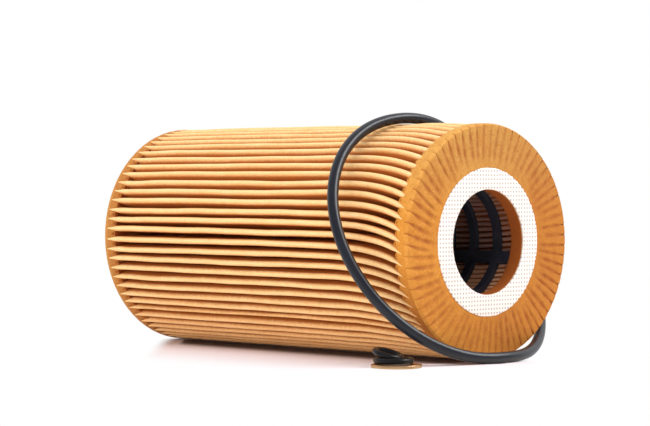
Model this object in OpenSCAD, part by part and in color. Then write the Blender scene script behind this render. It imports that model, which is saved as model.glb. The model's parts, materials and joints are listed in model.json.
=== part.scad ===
// Cartridge oil filter element, lying on its side, with the loose seals of its service kit.
// Millimetres. The origin is the mouth of the near bore, +X points out of the near end, +Z is up.

/* [Element] */
// Outside diameter of the element, over its end discs
element_d = 72; // [60:0.5:90]
// Length of the element, from one sealing face to the other
element_l = 140; // [90:1:200]
// Bore through the sealing rings and end discs
bore_d = 32; // [28:0.5:38]
// Depth of an end disc, from the sealing face to its inner face
disc_t = 5.2; // [4.5:0.1:8]
// Chamfer round the outer edge of an end disc
disc_edge = 0.3; // [0.2:0.1:1.2]
// Outside diameter of the pale sealing ring on an end disc
seal_ring_d = 45.1; // [42:0.1:52]
// Thickness of a sealing ring
seal_ring_t = 0.5; // [0.4:0.1:0.8]
// How far a sealing ring stands proud of its disc
seal_ring_proud = 0.2; // [0.1:0.05:0.3]

/* [Pleated medium] */
// Number of pleats in the folded sheet
pleats = 68; // [48:1:76]
// Angle of the first outer fold, from the top towards +Y
pleat_turn = 4; // [0:0.5:7]
// Thickness of the filter paper
paper_t = 0.6; // [0.4:0.05:0.65]
// Radius inside an outer fold
outer_fold = 0.3; // [0.2:0.05:0.5]
// Radius inside an inner fold
inner_fold = 0.05; // [0.03:0.01:0.08]
// How far the outer folds lie below the edge of the discs
pleat_inset = 0.2; // [0.15:0.05:1]
// Depth to which the paper is pressed into each disc
paper_bite = 3; // [1.5:0.1:3.5]
// Pleat at which the two ends of the sheet are glued
seam_pleat = 30; // [0:1:47]
// Depth of the glue between the two ends of the sheet
seam_depth = 6; // [3:0.5:10]

/* [Support core] */
// Clearance of the core's inside beyond the bore
core_inset = 0.6; // [0.4:0.1:1.5]
// Wall of the core
core_wall = 1.6; // [1:0.1:2]
// Clearance between the core and the inner folds
core_gap = 0.2; // [0.1:0.05:0.5]
// Depth to which the core is pressed into each disc
core_bite = 3; // [1.5:0.1:3.5]
// Width of a ring of the core
core_ring_w = 2.6; // [2:0.1:5]
// Spacing of the rings
core_ring_pitch = 9.7; // [8:0.1:14]
// Least window left between the last ring and a disc
core_ring_margin = 2; // [1:0.5:4]
// Number of ribs along the core
core_ribs = 3; // [3:1:6]
// Width of a rib
core_rib_w = 3.8; // [2:0.1:6]
// Angle of the first rib, from the top towards +Y
core_rib_turn = 108; // [0:1:360]

/* [Cover seal ring] */
// Play of the cover ring round the element, on the radius
cover_ring_play = 4; // [3:0.1:8]
// Section of the cover ring
cover_ring_t = 3.3; // [2:0.1:5]
// Room over the element where the ring leans on it
cover_ring_lean = 0.5; // [0.4:0.1:2]
// Clearance at the +Y side and at the edge of the near end
cover_ring_gap = 0.4; // [0.3:0.05:1]
// Turn of the leaning ring about the vertical
cover_ring_turn = -9.1; // [-14:0.1:-6]
// How far the +Y side of the ring is swept back along the element
cover_ring_sweep = 20.2; // [0:0.1:24]
// Middle of the swept side, in degrees from the ring's top
cover_ring_sweep_at = 87; // [80:1:110]
// Reach of the sweep to both sides of its middle, in degrees
cover_ring_sweep_reach = 93; // [60:1:95]
// How far the ring is spread round the lower +Y edge of the near end
cover_ring_spread = 6.6; // [4:0.1:7.5]
// Middle of the spread part, in degrees from the ring's top
cover_ring_spread_at = 127; // [120:1:140]
// Reach of the spread to both sides of its middle, in degrees
cover_ring_spread_reach = 53; // [35:1:56]
// Where the ring passes the edge of the near end, in degrees from its top
cover_ring_pass_at = 137; // [120:1:145]

/* [Drain plug washer and stem seals] */
// Outside diameter of the washer
washer_d = 15; // [14:0.1:18]
// Hole of the washer
washer_hole_d = 10.2; // [9:0.1:10.4]
// Thickness of the washer
washer_t = 1; // [0.8:0.1:2]
// Place of the washer along the element, from the near end
stack_x = -2; // [-8:0.5:0]
// Distance of the washer's middle beyond the side of the element
stack_out = 2.3; // [1:0.1:12]
// Turn of the stack about the vertical
stack_turn = 20; // [0:5:90]
// Section of both stem seals
stem_ring_t = 1.8; // [1.5:0.1:2]
// Inside diameter of the lower stem seal
lower_ring_inner_d = 8.4; // [8:0.1:10]
// Inside diameter of the upper stem seal
upper_ring_inner_d = 6; // [5.5:0.1:6.8]
// Sideways shift of the lower seal on the washer
lower_ring_shift = 0.9; // [0:0.1:1.2]
// Sideways shift of the upper seal
upper_ring_shift = 2.6; // [1.6:0.1:2.8]
// Lean of the upper seal
upper_ring_lean = 16; // [5:1:20]
// Clearance between the pieces of the stack
stack_gap = 0.15; // [0.1:0.05:0.3]

/* [Hidden] */
$fn = 96;

paper_colour = [0.93, 0.71, 0.42];
glue_colour = [0.90, 0.82, 0.60];
felt_colour = [0.86, 0.58, 0.20];
mesh_colour = [0.95, 0.93, 0.92];
core_colour = [0.07, 0.08, 0.11];
rubber_colour = [0.20, 0.23, 0.29];
copper_colour = [0.80, 0.53, 0.33];

element_r = element_d / 2;
bore_r = bore_d / 2;
core_in_r = bore_r + core_inset;
core_out_r = core_in_r + core_wall;
medium_in_r = core_out_r + core_gap;
medium_out_r = element_r - pleat_inset;
// How far a cutter runs past the solid that it cuts
cut_over = 1;

// Stands a piece on the near face, with its depth along z, and lays it along the axis.
// Angles then run from the top towards +Y.
module lay() {
  rotate([0, -90, 0]) children();
}

// The same, seen from the far face.
module lay_far() {
  translate([-element_l, 0, 0]) mirror([1, 0, 0]) lay() children();
}

module tube(outer_r, inner_r, from, to) {
  translate([0, 0, from]) difference() {
    cylinder(r = outer_r, h = to - from);
    translate([0, 0, -cut_over]) cylinder(r = inner_r, h = to - from + 2 * cut_over);
  }
}

module torus(mean_r, section) {
  rotate_extrude() translate([mean_r, 0]) circle(d = section);
}

// Folded sheet. Each leg is a straight line that touches one outer and one inner fold.
half_pitch = 180 / pleats;
outer_fold_c = medium_out_r - outer_fold - paper_t;
inner_fold_c = medium_in_r + inner_fold + paper_t;
function polar(r, a) = r * [cos(a), sin(a)];
leg_span = polar(inner_fold_c, half_pitch) - [outer_fold_c, 0];
leg_reach = (outer_fold + inner_fold + paper_t) / norm(leg_span);
leg_along = leg_span / norm(leg_span);
leg_side = leg_reach * leg_along + sqrt(1 - leg_reach * leg_reach) * [leg_along.y, -leg_along.x];
leg_turn = atan2(leg_side.y, leg_side.x);
leg_line = [-leg_side.y, leg_side.x];
// Straight steps round a fold, on its wide and its tight side
wide_steps = 4;
tight_steps = 2;

function fold_arc(centre_r, at, radius, middle, reach, steps) = [
  for (i = [0:steps]) polar(centre_r, at) + polar(radius, at + middle + reach * (2 * i / steps - 1))
];
function outer_arc(k, radius, steps) =
  fold_arc(outer_fold_c, 2 * half_pitch * k, radius, 0, leg_turn, steps);
function inner_arc(k, radius, steps) =
  fold_arc(inner_fold_c, half_pitch * (2 * k + 1), radius, 180, half_pitch - leg_turn, steps);
// Point on the leg after (side 1) or before (side -1) the outer fold k, a depth below the fold.
function leg_point(k, side, radius, depth) =
  let (p = radius * leg_side + depth * leg_line,
       a = 2 * half_pitch * k)
  polar(outer_fold_c, a) + polar(p.x, a) + side * polar(p.y, a + 90);
function joined(lists) = [for (list = lists) for (item = list) item];
function back(list) = [for (i = [len(list) - 1:-1:0]) list[i]];

// One face of the sheet, from one glued end round to the other.
function sheet_face(outer_r, inner_r, outer_steps, inner_steps) = concat(
  [leg_point(seam_pleat, 1, outer_r, 0)],
  joined([
    for (k = [seam_pleat:seam_pleat + pleats - 2])
      concat(inner_arc(k, inner_r, inner_steps), outer_arc(k + 1, outer_r, outer_steps))
  ]),
  inner_arc(seam_pleat + pleats - 1, inner_r, inner_steps),
  [leg_point(seam_pleat, -1, outer_r, 0)]
);

module sheet_profile() {
  outside = sheet_face(outer_fold + paper_t, inner_fold, wide_steps, tight_steps);
  inside = sheet_face(outer_fold, inner_fold + paper_t, tight_steps, wide_steps);
  rotate(pleat_turn) polygon(concat(outside, back(inside)));
}

module pleated_medium() {
  color(paper_colour) lay() translate([0, 0, disc_t - paper_bite])
    linear_extrude(height = element_l - 2 * (disc_t - paper_bite)) sheet_profile();
}

module seam_glue() {
  color(glue_colour) lay() translate([0, 0, disc_t]) linear_extrude(height = element_l - 2 * disc_t)
    rotate(pleat_turn) polygon(concat(
      outer_arc(seam_pleat, outer_fold + paper_t, wide_steps),
      [for (depth = [0, seam_depth]) leg_point(seam_pleat, 1, outer_fold, depth)],
      [for (depth = [seam_depth, 0]) leg_point(seam_pleat, -1, outer_fold, depth)]
    ));
}

// End disc of felt, with the sheet and the core pressed into its inner face.
module end_disc() {
  difference() {
    rotate_extrude() polygon([
      [bore_r, seal_ring_t], [seal_ring_d / 2, seal_ring_t], [seal_ring_d / 2, seal_ring_proud],
      [element_r - disc_edge, seal_ring_proud], [element_r, seal_ring_proud + disc_edge],
      [element_r, disc_t], [bore_r, disc_t]
    ]);
    translate([0, 0, disc_t - paper_bite]) linear_extrude(height = paper_bite + cut_over) sheet_profile();
    tube(core_out_r, core_in_r, disc_t - core_bite, disc_t + cut_over);
  }
}

module near_end_disc() {
  color(felt_colour) lay() end_disc();
}

module far_end_disc() {
  color(felt_colour) lay_far() end_disc();
}

module near_seal_ring() {
  color(mesh_colour) lay() tube(seal_ring_d / 2, bore_r, 0, seal_ring_t);
}

module far_seal_ring() {
  color(mesh_colour) lay_far() tube(seal_ring_d / 2, bore_r, 0, seal_ring_t);
}

// Moulded core: a tube with windows between its rings and its ribs.
core_from = disc_t - core_bite;
core_to = element_l - core_from;
core_open = element_l - 2 * disc_t;
core_rings = floor((core_open - core_ring_w - 2 * core_ring_margin) / core_ring_pitch) + 1;
function core_ring_at(i) = element_l / 2 + (i - (core_rings - 1) / 2) * core_ring_pitch;

module core_windows() {
  cut_r = core_out_r + cut_over;
  cut_in_r = core_in_r - core_inset;
  first = core_ring_at(0) - core_ring_w / 2;
  last = core_ring_at(core_rings - 1) + core_ring_w / 2;
  difference() {
    union() {
      tube(cut_r, cut_in_r, disc_t, first);
      for (i = [0:1:core_rings - 2])
        tube(cut_r, cut_in_r, core_ring_at(i) + core_ring_w / 2, core_ring_at(i + 1) - core_ring_w / 2);
      tube(cut_r, cut_in_r, last, element_l - disc_t);
    }
    for (i = [0:core_ribs - 1])
      rotate([0, 0, core_rib_turn + i * 360 / core_ribs])
        translate([0, -core_rib_w / 2, core_from])
          cube([cut_r + cut_over, core_rib_w, core_to - core_from]);
  }
}

module support_core() {
  color(core_colour) lay() difference() {
    tube(core_out_r, core_in_r, core_from, core_to);
    core_windows();
  }
}

// The cover ring leans on the element: its foot stands on the floor before the near end, and its top
// hangs over the element. It is a circle that is bent: its +Y side is swept back behind the near end,
// and spread where it passes the edge. It stands on the floor, and moves sideways and along the axis
// until it clears the side and the near end.
cover_ring_r = element_r + cover_ring_play + cover_ring_t / 2;
cover_ring_tilt = acos((element_r + cover_ring_lean / 2) / cover_ring_r);
cover_ring_clear = cover_ring_t / 2 + cover_ring_gap;
function swell(a, at, reach) =
  let (away = abs((a - at + 540) % 360 - 180))
  away < reach ? pow(cos(90 * away / reach), 2) : 0;
function cover_ring_bent(a) =
  let (up = cover_ring_r * cos(a),
       side = cover_ring_r * sin(a),
       lean = -up * sin(cover_ring_tilt),
       sweep = cover_ring_sweep * swell(a, cover_ring_sweep_at, cover_ring_sweep_reach),
       spread = cover_ring_spread * swell(a, cover_ring_spread_at, cover_ring_spread_reach))
  [lean * cos(cover_ring_turn) - side * sin(cover_ring_turn) - sweep,
   lean * sin(cover_ring_turn) + side * cos(cover_ring_turn) + spread * sin(a),
   up * cos(cover_ring_tilt) + spread * cos(a)];
cover_ring_z = cover_ring_t / 2 - element_r - min([for (a = [0:359]) cover_ring_bent(a).z]);
cover_ring_y = max([
  for (a = [0:cover_ring_pass_at])
    let (p = cover_ring_bent(a), keep = element_r + cover_ring_clear, z = p.z + cover_ring_z)
    if (abs(z) < keep) sqrt(keep * keep - z * z) - p.y
]);
cover_ring_x = max([
  for (a = [cover_ring_pass_at:359])
    let (p = cover_ring_bent(a), out = norm([p.y + cover_ring_y, p.z + cover_ring_z]) - element_r)
    if (out < cover_ring_clear) sqrt(pow(cover_ring_clear, 2) - pow(max(0, out), 2)) - p.x
]);

// Straight steps along the bent ring, and round its section
cover_ring_steps = 90;
cover_ring_sides = 12;
cover_ring_axis = [
  cos(cover_ring_tilt) * cos(cover_ring_turn),
  cos(cover_ring_tilt) * sin(cover_ring_turn),
  sin(cover_ring_tilt)
];
function unit(v) = v / norm(v);
function cover_ring_section(a) =
  let (along = unit(cover_ring_bent(a + 1) - cover_ring_bent(a - 1)),
       out = unit(cross(along, cover_ring_axis)),
       up = cross(along, out))
  [
    for (s = [0:cover_ring_sides - 1])
      let (p = polar(cover_ring_t / 2, s * 360 / cover_ring_sides))
      cover_ring_bent(a) + p.x * out + p.y * up
  ];

module cover_o_ring() {
  points = joined([for (i = [0:cover_ring_steps - 1]) cover_ring_section(i * 360 / cover_ring_steps)]);
  faces = joined([
    for (i = [0:cover_ring_steps - 1])
      for (s = [0:cover_ring_sides - 1])
        let (here = i * cover_ring_sides,
             there = (i + 1) % cover_ring_steps * cover_ring_sides,
             next = (s + 1) % cover_ring_sides)
        [[here + s, here + next, there + next], [here + s, there + next, there + s]]
  ]);
  color(rubber_colour) translate([cover_ring_x, cover_ring_y, cover_ring_z]) polyhedron(points, faces);
}

// Washer and stem seals, stacked on the floor beside the near end.
lower_ring_r = (lower_ring_inner_d + stem_ring_t) / 2;
upper_ring_r = (upper_ring_inner_d + stem_ring_t) / 2;
lower_ring_z = washer_t + stack_gap + stem_ring_t / 2;
stem_clear = stem_ring_t + stack_gap;

module stack() {
  translate([stack_x, -element_r - stack_out, -element_r]) rotate([0, 0, stack_turn]) children();
}

// The upper seal comes down until it meets the lower one, or the washer below its low side.
function tilted_ring(r, lean, step) = [
  for (a = [0:step:360 - step]) [r * cos(a) * cos(lean), r * sin(a), -r * cos(a) * sin(lean)]
];
stem_step = 4;
upper_ring_z = max(concat(
  [lower_ring_z + upper_ring_r * sin(upper_ring_lean)],
  [
    for (p = tilted_ring(upper_ring_r, upper_ring_lean, stem_step))
      for (q = tilted_ring(lower_ring_r, 0, stem_step))
        let (apart = norm([p.x - upper_ring_shift - q.x + lower_ring_shift, p.y - q.y]))
        if (apart < stem_clear) lower_ring_z - p.z + sqrt(pow(stem_clear, 2) - pow(apart, 2))
  ]
));

module drain_plug_washer() {
  color(copper_colour) stack() tube(washer_d / 2, washer_hole_d / 2, 0, washer_t);
}

module lower_stem_o_ring() {
  color(rubber_colour) stack() translate([-lower_ring_shift, 0, lower_ring_z])
    torus(lower_ring_r, stem_ring_t);
}

module upper_stem_o_ring() {
  color(rubber_colour) stack() translate([-upper_ring_shift, 0, upper_ring_z])
    rotate([0, upper_ring_lean, 0]) torus(upper_ring_r, stem_ring_t);
}

pleated_medium();
seam_glue();
near_end_disc();
far_end_disc();
near_seal_ring();
far_seal_ring();
support_core();
cover_o_ring();
drain_plug_washer();
lower_stem_o_ring();
upper_stem_o_ring();
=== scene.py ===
import json
import math

import bpy
import numpy as np
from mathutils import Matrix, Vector


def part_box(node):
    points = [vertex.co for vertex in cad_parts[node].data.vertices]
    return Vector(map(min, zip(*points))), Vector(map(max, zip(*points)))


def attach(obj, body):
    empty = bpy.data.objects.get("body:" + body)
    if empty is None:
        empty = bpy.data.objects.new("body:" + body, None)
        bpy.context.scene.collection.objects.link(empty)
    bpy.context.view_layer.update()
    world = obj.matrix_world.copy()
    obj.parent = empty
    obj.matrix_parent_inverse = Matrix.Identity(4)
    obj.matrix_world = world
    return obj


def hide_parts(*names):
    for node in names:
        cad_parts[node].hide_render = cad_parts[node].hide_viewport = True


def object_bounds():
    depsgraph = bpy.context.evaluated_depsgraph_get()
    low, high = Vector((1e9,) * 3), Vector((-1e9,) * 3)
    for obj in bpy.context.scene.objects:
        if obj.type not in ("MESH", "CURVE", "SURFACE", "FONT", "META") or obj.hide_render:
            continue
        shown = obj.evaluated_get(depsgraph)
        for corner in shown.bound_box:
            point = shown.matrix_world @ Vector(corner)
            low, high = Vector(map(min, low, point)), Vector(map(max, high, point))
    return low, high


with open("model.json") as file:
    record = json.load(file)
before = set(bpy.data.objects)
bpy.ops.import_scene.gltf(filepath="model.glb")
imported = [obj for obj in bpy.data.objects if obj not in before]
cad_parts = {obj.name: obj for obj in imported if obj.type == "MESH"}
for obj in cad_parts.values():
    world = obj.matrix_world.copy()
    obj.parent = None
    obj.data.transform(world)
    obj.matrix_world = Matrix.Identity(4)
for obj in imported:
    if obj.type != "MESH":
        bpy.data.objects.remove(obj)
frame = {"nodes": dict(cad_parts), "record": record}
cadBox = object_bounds()
mm = 0.001
print("frame loaded")


# places and sizes that the frame gives, in metres
def mountOf(name):
    return next(m for m in frame["record"]["mounts"] if m["name"] == name)


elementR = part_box("near_end_disc")[1].z
elementL = -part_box("far_seal_ring")[0].x
boreR = mountOf("near_bore")["dims"]["r_mm"] * mm
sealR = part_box("near_seal_ring")[1].z
sealT = -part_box("near_seal_ring")[0].x
discFace = -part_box("near_end_disc")[1].x
discDepth = -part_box("near_end_disc")[0].x
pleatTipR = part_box("pleated_medium")[1].z
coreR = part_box("support_core")[1].z
floorZ = cadBox[0].z


# shader maths: a socket with operators, and one method for every other node
class Value:
    def __init__(self, finish, socket):
        self.finish = finish
        self.socket = socket

    def maths(self, operation, first, second=0.0):
        return self.finish.node("ShaderNodeMath", {"operation": operation}, {0: first, 1: second})

    def __add__(self, other):
        return self.maths("ADD", self, other)

    def __sub__(self, other):
        return self.maths("SUBTRACT", self, other)

    def __mul__(self, other):
        return self.maths("MULTIPLY", self, other)

    def __truediv__(self, other):
        return self.maths("DIVIDE", self, other)

    def __pow__(self, other):
        return self.maths("POWER", self, other)

    def __radd__(self, other):
        return self.maths("ADD", other, self)

    def __rsub__(self, other):
        return self.maths("SUBTRACT", other, self)

    def __rmul__(self, other):
        return self.maths("MULTIPLY", other, self)

    def __rtruediv__(self, other):
        return self.maths("DIVIDE", other, self)

    def __rpow__(self, other):
        return self.maths("POWER", other, self)


class Graph:
    def __init__(self, owner):
        owner.use_nodes = True
        self.tree = owner.node_tree

    def feed(self, socket, value):
        if isinstance(value, Value):
            self.tree.links.new(value.socket, socket)
        elif hasattr(socket.default_value, "__len__") and len(socket.default_value) == 4:
            socket.default_value = (*value[:3], 1.0)
        else:
            socket.default_value = value

    def node(self, kind, settings=None, inputs=None, out=0):
        made = self.tree.nodes.new(kind)
        for key, value in (settings or {}).items():
            setattr(made, key, value)
        for key, value in (inputs or {}).items():
            self.feed(made.inputs[key], value)
        return Value(self, made.outputs[out])

    def steps(self, fac, low, high, first=0.0, last=1.0):
        return self.node("ShaderNodeMapRange", {"interpolation_type": "SMOOTHSTEP"},
                         {"Value": fac, "From Min": low, "From Max": high,
                          "To Min": first, "To Max": last})

    def axes(self, vector):
        split = self.node("ShaderNodeSeparateXYZ", None, {0: vector}).socket.node
        return [Value(self, split.outputs[name]) for name in "XYZ"]

    def rays(self):
        # 1 on what the camera sees, and on what it sees in a reflection or through glass
        path = self.node("ShaderNodeLightPath").socket.node
        camera, glossy, through = (Value(self, path.outputs["Is %s Ray" % kind])
                                   for kind in ("Camera", "Glossy", "Transmission"))
        return camera, glossy.maths("MAXIMUM", glossy, through)


class Finish(Graph):
    def __init__(self, name):
        self.material = bpy.data.materials.new(name)
        super().__init__(self.material)
        self.shader = self.tree.nodes["Principled BSDF"]
        self.place = self.node("ShaderNodeTexCoord", out="Object")

    def noise(self, scale, detail=3.0, rough=0.55, at=None):
        inputs = {"Vector": at or self.place, "Scale": scale, "Detail": detail, "Roughness": rough}
        return self.node("ShaderNodeTexNoise", None, inputs, "Fac")

    def spots(self, pattern, low, high, share):
        return self.steps(pattern, low, high) * share

    def stretched(self, x, y, z):
        return self.node("ShaderNodeMapping", None, {"Vector": self.place, "Scale": (x, y, z)})

    def mix(self, fac, first, second):
        return self.node("ShaderNodeMix", {"data_type": "RGBA"}, {0: fac, 6: first, 7: second}, 2)

    def mark(self, name):
        return self.node("ShaderNodeAttribute", {"attribute_name": name}, None, "Fac")

    def bump(self, height, distance, strength):
        inputs = {"Height": height, "Distance": distance, "Strength": strength}
        return self.node("ShaderNodeBump", None, inputs)

    def set(self, **inputs):
        for key, value in inputs.items():
            self.feed(self.shader.inputs[key.replace("_", " ")], value)
        return self.material


# mesh helpers
def gridQuads(rows, columns, closeRows=False):
    # the columns always close
    j, i = np.meshgrid(np.arange(rows if closeRows else rows - 1), np.arange(columns), indexing="ij")
    j, i = j.ravel(), i.ravel()
    down, right = (j + 1) % rows, (i + 1) % columns
    return np.stack([j * columns + i, j * columns + right, down * columns + right, down * columns + i], 1)


def addPiece(name, points, quads, material, body, node, marks=None):
    mesh = bpy.data.meshes.new(name)
    mesh.from_pydata(np.asarray(points, float).tolist(), [], quads)
    mesh.validate()
    for key, values in (marks or {}).items():
        layer = mesh.attributes.new(key, "FLOAT", "POINT")
        layer.data.foreach_set("value", np.asarray(values, np.float32))
    mesh.shade_smooth()
    mesh.materials.append(material)
    piece = bpy.data.objects.new(name, mesh)
    bpy.context.scene.collection.objects.link(piece)
    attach(piece, body)
    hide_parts(node)
    print("made", name, len(mesh.vertices), "points")
    return piece


def smooth(low, high, value):
    share = np.clip((value - low) / (high - low), 0, 1)
    return share * share * (3 - 2 * share)


def waves(seed, count, along, spread=1.0):
    # slow random curves along the element, one row for each of count pieces, about -1 to 1
    rng = np.random.RandomState(seed)
    total = np.zeros((count, len(along)))
    for turns, weight in ((1.3, 0.55), (2.9, 0.3), (6.1, 0.15)):
        phase = rng.uniform(0, 2 * math.pi, (count, 1))
        pace = turns * rng.uniform(0.7, 1.3, (count, 1)) * spread
        total += weight * np.sin(2 * math.pi * pace * along[None, :] + phase)
    return total


# filter paper
def paperFinish():
    look = {
        "lit": (0.89, 0.565, 0.25),
        "warm": (0.80, 0.43, 0.145),
        "fibreAndHighlight": (0.97, 0.74, 0.43),
        "cloudNoise": (120.0, 4.0),      # patterns of the paper: scale, detail and roughness
        "grainNoise": (1500.0, 3.0, 0.65),
        "fuzzNoise": (3400.0, 2.0, 0.7),
        "ragNoise": (650.0, 2.0, 0.6),
        "strandNoise": (1.0, 2.0, 0.5),
        "strandStretch": (260.0, 1500.0, 1500.0),
        "cloud": (0.32, 0.70, 0.5),      # where each begins to show and is full, and how strongly
        "strand": (0.58, 0.80, 0.30),
        "grain": (0.42, 0.68, 0.62),
        "fuzz": (0.45, 0.70, 0.52),
        "tipHighlightShare": 0.30,                # painted highlight: paler along the outer folds, down to this depth
        "tipHighlightDepth": 0.30 * mm,
        "foldShade": (0.59, 0.20, 0.043),    # painted shade: the sides of the folds, darker and redder deep in the gaps
        "foldShadeLow": (0.45, 0.125, 0.022),   # the same painted shade, darker on the lower side
        "foldShadeTurn": (-9.0 * mm, 5.0 * mm),
        "foldShadeAt": 0.64 * mm,            # depth below the outer folds at which the sides begin
        "foldShadeFull": 2.1 * mm,
        "foldShadeGrain": 0.7 * mm,          # how ragged that edge is
        "foldShadeRag": 0.5 * mm,
        "warmBounce": (0.92, 0.45, 0.17),     # painted warm bounce light, low where the paper faces the floor
        "warmBounceShare": 0.55,
        "warmBounceTurn": (-33.0 * mm, -20.0 * mm),
        "inner": (0.34, 0.20, 0.165),    # painted shade: dark inner folds, seen through the core
        "innerLitLow": (1.0, 0.60, 0.37),   # painted light: the inner folds lighter on the lower side
        "innerTurn": (-14.0 * mm, -2.0 * mm),
        "innerAt": 17.0 * mm,
        "innerFull": 17.7 * mm,
        "rough": 0.85,
        "gloss": 0.2,
        "napGrain": 0.5,                 # share of the patterns in the nap
        "napFuzz": 0.4,
        "napStrand": 0.4,
        "nap": (0.28 * mm, 0.75),        # its height and strength
    }
    f = Finish("filterPaper")
    cloud, grain, fuzz, rag = (f.noise(*look[key + "Noise"]) for key in ("cloud", "grain", "fuzz", "rag"))
    strand = f.noise(*look["strandNoise"], f.stretched(*look["strandStretch"]))
    deep = f.mark("deep")
    colour = f.mix(f.spots(cloud, *look["cloud"]), look["lit"], look["warm"])
    colour = f.mix(f.spots(strand, *look["strand"]), colour, look["fibreAndHighlight"])
    colour = f.mix(f.spots(grain, *look["grain"]), colour, look["warm"])
    colour = f.mix(f.spots(fuzz, *look["fuzz"]), colour, look["fibreAndHighlight"])
    z = f.axes(f.place)[2]
    # painted warm bounce light low on the paper
    colour = f.mix(f.steps(z, *look["warmBounceTurn"], look["warmBounceShare"], 0.0), colour, look["warmBounce"])
    # painted highlight along the outer folds
    colour = f.mix(f.steps(deep, 0.0, look["tipHighlightDepth"], look["tipHighlightShare"], 0.0), colour, look["fibreAndHighlight"])
    # painted shade on the sides of the folds, with a ragged edge, darker on the lower side
    ragged = deep + grain * look["foldShadeGrain"] + rag * look["foldShadeRag"]
    foldShade = f.mix(f.steps(z, *look["foldShadeTurn"]), look["foldShadeLow"], look["foldShade"])
    colour = f.mix(f.steps(ragged, look["foldShadeAt"], look["foldShadeFull"]), colour, foldShade)
    # painted shade on the inner folds, and painted light on their lower side
    inner = f.mix(f.steps(z, *look["innerTurn"]), look["innerLitLow"], look["inner"])
    colour = f.mix(f.steps(deep, look["innerAt"], look["innerFull"]), colour, inner)
    height = grain * look["napGrain"] + fuzz * look["napFuzz"] + strand * look["napStrand"]
    return f.set(Base_Color=colour, Roughness=look["rough"], Specular_IOR_Level=look["gloss"],
                 Normal=f.bump(height, *look["nap"]))


medium = {
    "pleats": 68,
    "turn": 4.0,             # angle of the first pleat at the far end, degrees
    "uneven": 0.30,          # uneven spacing of the pleats, degrees
    "twist": -5.5,           # turn of the pleats at the near end, a little more than one pitch
    "twistSway": 2.0,        # how much that turn differs round the element
    "twistSwayAt": 320.0,
    "twistFrom": 40.0 * mm,  # where the turn begins, from the near face
    "twistPower": 3.2,
    "narrow": 42,            # one pleat is narrow and low, close to the next one
    "narrowShift": 1.1,
    "narrowShare": 0.62,
    "narrowSink": 0.25 * mm,
    "paper": 0.6 * mm,
    "outerFold": 0.36 * mm,  # radius inside an outer fold
    "tall": 1.4,             # height of an outer fold's arch, of its half width
    "innerFold": 0.05 * mm,
    "innerTurn": 91.0,       # turn of an inner fold to each side, degrees
    "square": 2.1,           # flattens the outer folds
    "coreGap": 0.2 * mm,
    "tipGap": 0.05 * mm,     # how far the outer folds lie below the edge of the discs
    "sway": 0.34,            # sideways wander of a pleat, degrees
    "swayFrom": 14.0 * mm,   # and the distance from the ends at which it is full
    "rise": 0.10 * mm,       # uneven height of the folds
    "risePace": 0.8,         # how fast it changes, of the sideways wander's pace
    "riseFrom": (4.0 * mm, 12.0 * mm),
    "swell": 0.26 * mm,      # how far the folds stand out between the discs
    "swellFrom": (5.0 * mm, 24.0 * mm),
    "nearSwell": 0.28 * mm,  # and how much more a little behind the near disc
    "nearSwellFrom": (6.0 * mm, 18.0 * mm),
    "nearSwellTo": (30.0 * mm, 55.0 * mm),
    "swellLow": (-0.98, -0.65),   # none where the element lies on the floor: cosine from the top
    "dent": 0.16 * mm,       # how far they give way under the cover ring
    "dentAt": 30.5 * mm,
    "dentWide": 4.0 * mm,
    "nearStart": 1.35 * mm,  # depth at which the sheet begins in the felt
    "farStart": 0.7 * mm,
    "endZone": 9.0 * mm,     # the folds run out to points in the felt
    "endStations": 24,
    "nearPoint": (3.4 * mm, 6.0 * mm, 0.24),   # depth where a fold is narrowest and full, and least share
    "farPoint": (0.8 * mm, 6.0 * mm, 0.10),
    "nearSlim": 2.6 * mm,    # the near points are longer on the lower side
    "slimLow": (-0.3, 0.5),  # cosine from the bottom over which they grow longer
    "stations": 84,
    "outerSteps": 15,
    "innerSteps": 5,
    "placeSeed": 12,
    "swaySeed": 7,
    "riseSeed": 8,
}


def foldWidth(along, places):
    # share of a fold's full width at each place along the element
    slim = medium["nearSlim"] * smooth(*medium["slimLow"], -np.cos(places))
    total = np.ones_like(places)
    for depth, key, longer in ((along, "nearPoint", slim), (elementL - along, "farPoint", 0.0)):
        low, high, least = medium[key]
        total *= least + (1 - least) * np.clip((depth - low) / (high + longer - low), 0, 1)
    return total


def pleatPlaces(along):
    # angle of each outer fold at each place along the element, in radians, from the top towards +Y
    m = medium
    pitch = 360.0 / m["pleats"]
    rng = np.random.RandomState(m["placeSeed"])
    base = m["turn"] + pitch * np.arange(m["pleats"]) + rng.uniform(-1, 1, m["pleats"]) * m["uneven"]
    base[m["narrow"]] += m["narrowShift"]
    held = smooth(0, m["swayFrom"], along) * smooth(0, m["swayFrom"], elementL - along)
    near = np.clip(1 - along / m["twistFrom"], 0, 1) ** m["twistPower"]
    most = m["twist"] + m["twistSway"] * np.sin(np.radians(base - m["twistSwayAt"]))
    turn = most[:, None] * near[None, :] / (1 - discDepth / m["twistFrom"]) ** m["twistPower"]
    sway = m["sway"] * waves(m["swaySeed"], m["pleats"], along / elementL) * held
    return np.radians(base[:, None] + turn + sway)


def toSpace(depth, radius, angle):
    return np.stack(np.broadcast_arrays(-depth, radius * np.sin(angle), radius * np.cos(angle)), -1)


def foldArc(centreR, angle, radius, turns, square=2.0, tall=1.0):
    # points round a fold: radius and angle of each, from the fold's own radial direction
    bow = np.abs(np.cos(turns)) ** (2 / square) * np.sign(np.cos(turns))
    span = np.abs(np.sin(turns)) ** (2 / square) * np.sign(np.sin(turns))
    out = centreR + radius * tall * bow
    side = radius * span
    return np.hypot(out, side), angle + np.arctan2(side, out)


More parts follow.
